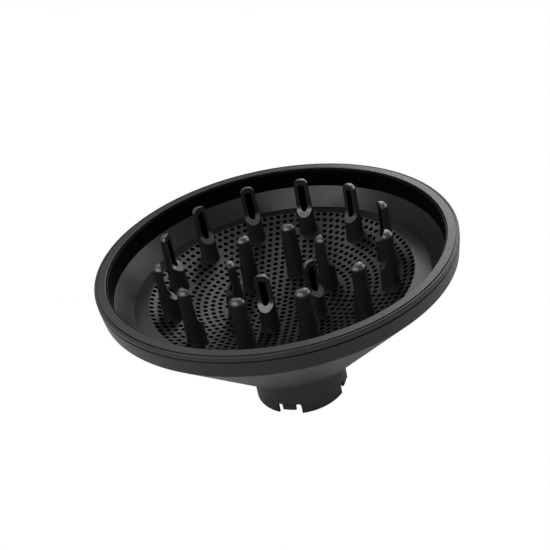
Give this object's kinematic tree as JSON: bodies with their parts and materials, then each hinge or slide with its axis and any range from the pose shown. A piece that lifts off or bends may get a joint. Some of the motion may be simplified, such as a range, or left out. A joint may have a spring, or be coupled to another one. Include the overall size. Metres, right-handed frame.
{
  "type": "hair dryer diffuser",
  "caption": "Round black diffuser bowl with a dished perforated plate, two rings of slotted hollow prongs, a funnel and a push-on neck collar with snap tabs.",
  "frame": {"origin": "on the axis of the neck at the collar's lower edge, the bottom centre of the bounding box", "axes": "+Z along the neck's axis, out of the bowl in the direction the air leaves; +X and +Y through two neighbouring snap tabs and outer prongs"},
  "size_m": [0.1708, 0.1708, 0.0896],
  "materials": {
    "shell": "black satin moulding",
    "trim": "black satin, lighter polished rim",
    "wall": "deep black gloss",
    "liner": "black satin",
    "plate": "black semi-gloss moulding",
    "prong": "matt black back, polished tip and slot border",
    "collar": "black satin moulding"
  },
  "bodies": {
    "diffuser": {"funnel_shell": "shell", "trim_ring": "trim", "wall_ring": "wall", "bowl_ring": "liner", "diffuser_plate": "plate", "prong_outer_01": "prong", "prong_outer_02": "prong", "prong_outer_03": "prong", "prong_outer_04": "prong", "prong_outer_05": "prong", "prong_outer_06": "prong", "prong_outer_07": "prong", "prong_outer_08": "prong", "prong_outer_09": "prong", "prong_outer_10": "prong", "prong_outer_11": "prong", "prong_outer_12": "prong", "prong_inner_1": "prong", "prong_inner_2": "prong", "prong_inner_3": "prong", "prong_inner_4": "prong", "prong_inner_5": "prong", "prong_inner_6": "prong", "neck_collar": "collar"},
    "tab_1": {"snap_tab_1": "collar"},
    "tab_2": {"snap_tab_2": "collar"},
    "tab_3": {"snap_tab_3": "collar"},
    "tab_4": {"snap_tab_4": "collar"}
  },
  "joints": [
    {"name": "tab_1_flex", "type": "hinge", "parent": "diffuser", "child": "tab_1", "pos_m": [0.0225, 0, 0.0056], "axis": [0, -1, 0], "range_deg": [0, 6], "stiffness_Nm_per_rad": 0.2},
    {"name": "tab_2_flex", "type": "hinge", "parent": "diffuser", "child": "tab_2", "pos_m": [0, 0.0225, 0.0056], "axis": [1, 0, 0], "range_deg": [0, 6], "stiffness_Nm_per_rad": 0.2},
    {"name": "tab_3_flex", "type": "hinge", "parent": "diffuser", "child": "tab_3", "pos_m": [-0.0225, 0, 0.0056], "axis": [0, 1, 0], "range_deg": [0, 6], "stiffness_Nm_per_rad": 0.2},
    {"name": "tab_4_flex", "type": "hinge", "parent": "diffuser", "child": "tab_4", "pos_m": [0, -0.0225, 0.0056], "axis": [-1, 0, 0], "range_deg": [0, 6], "stiffness_Nm_per_rad": 0.2}
  ]
}
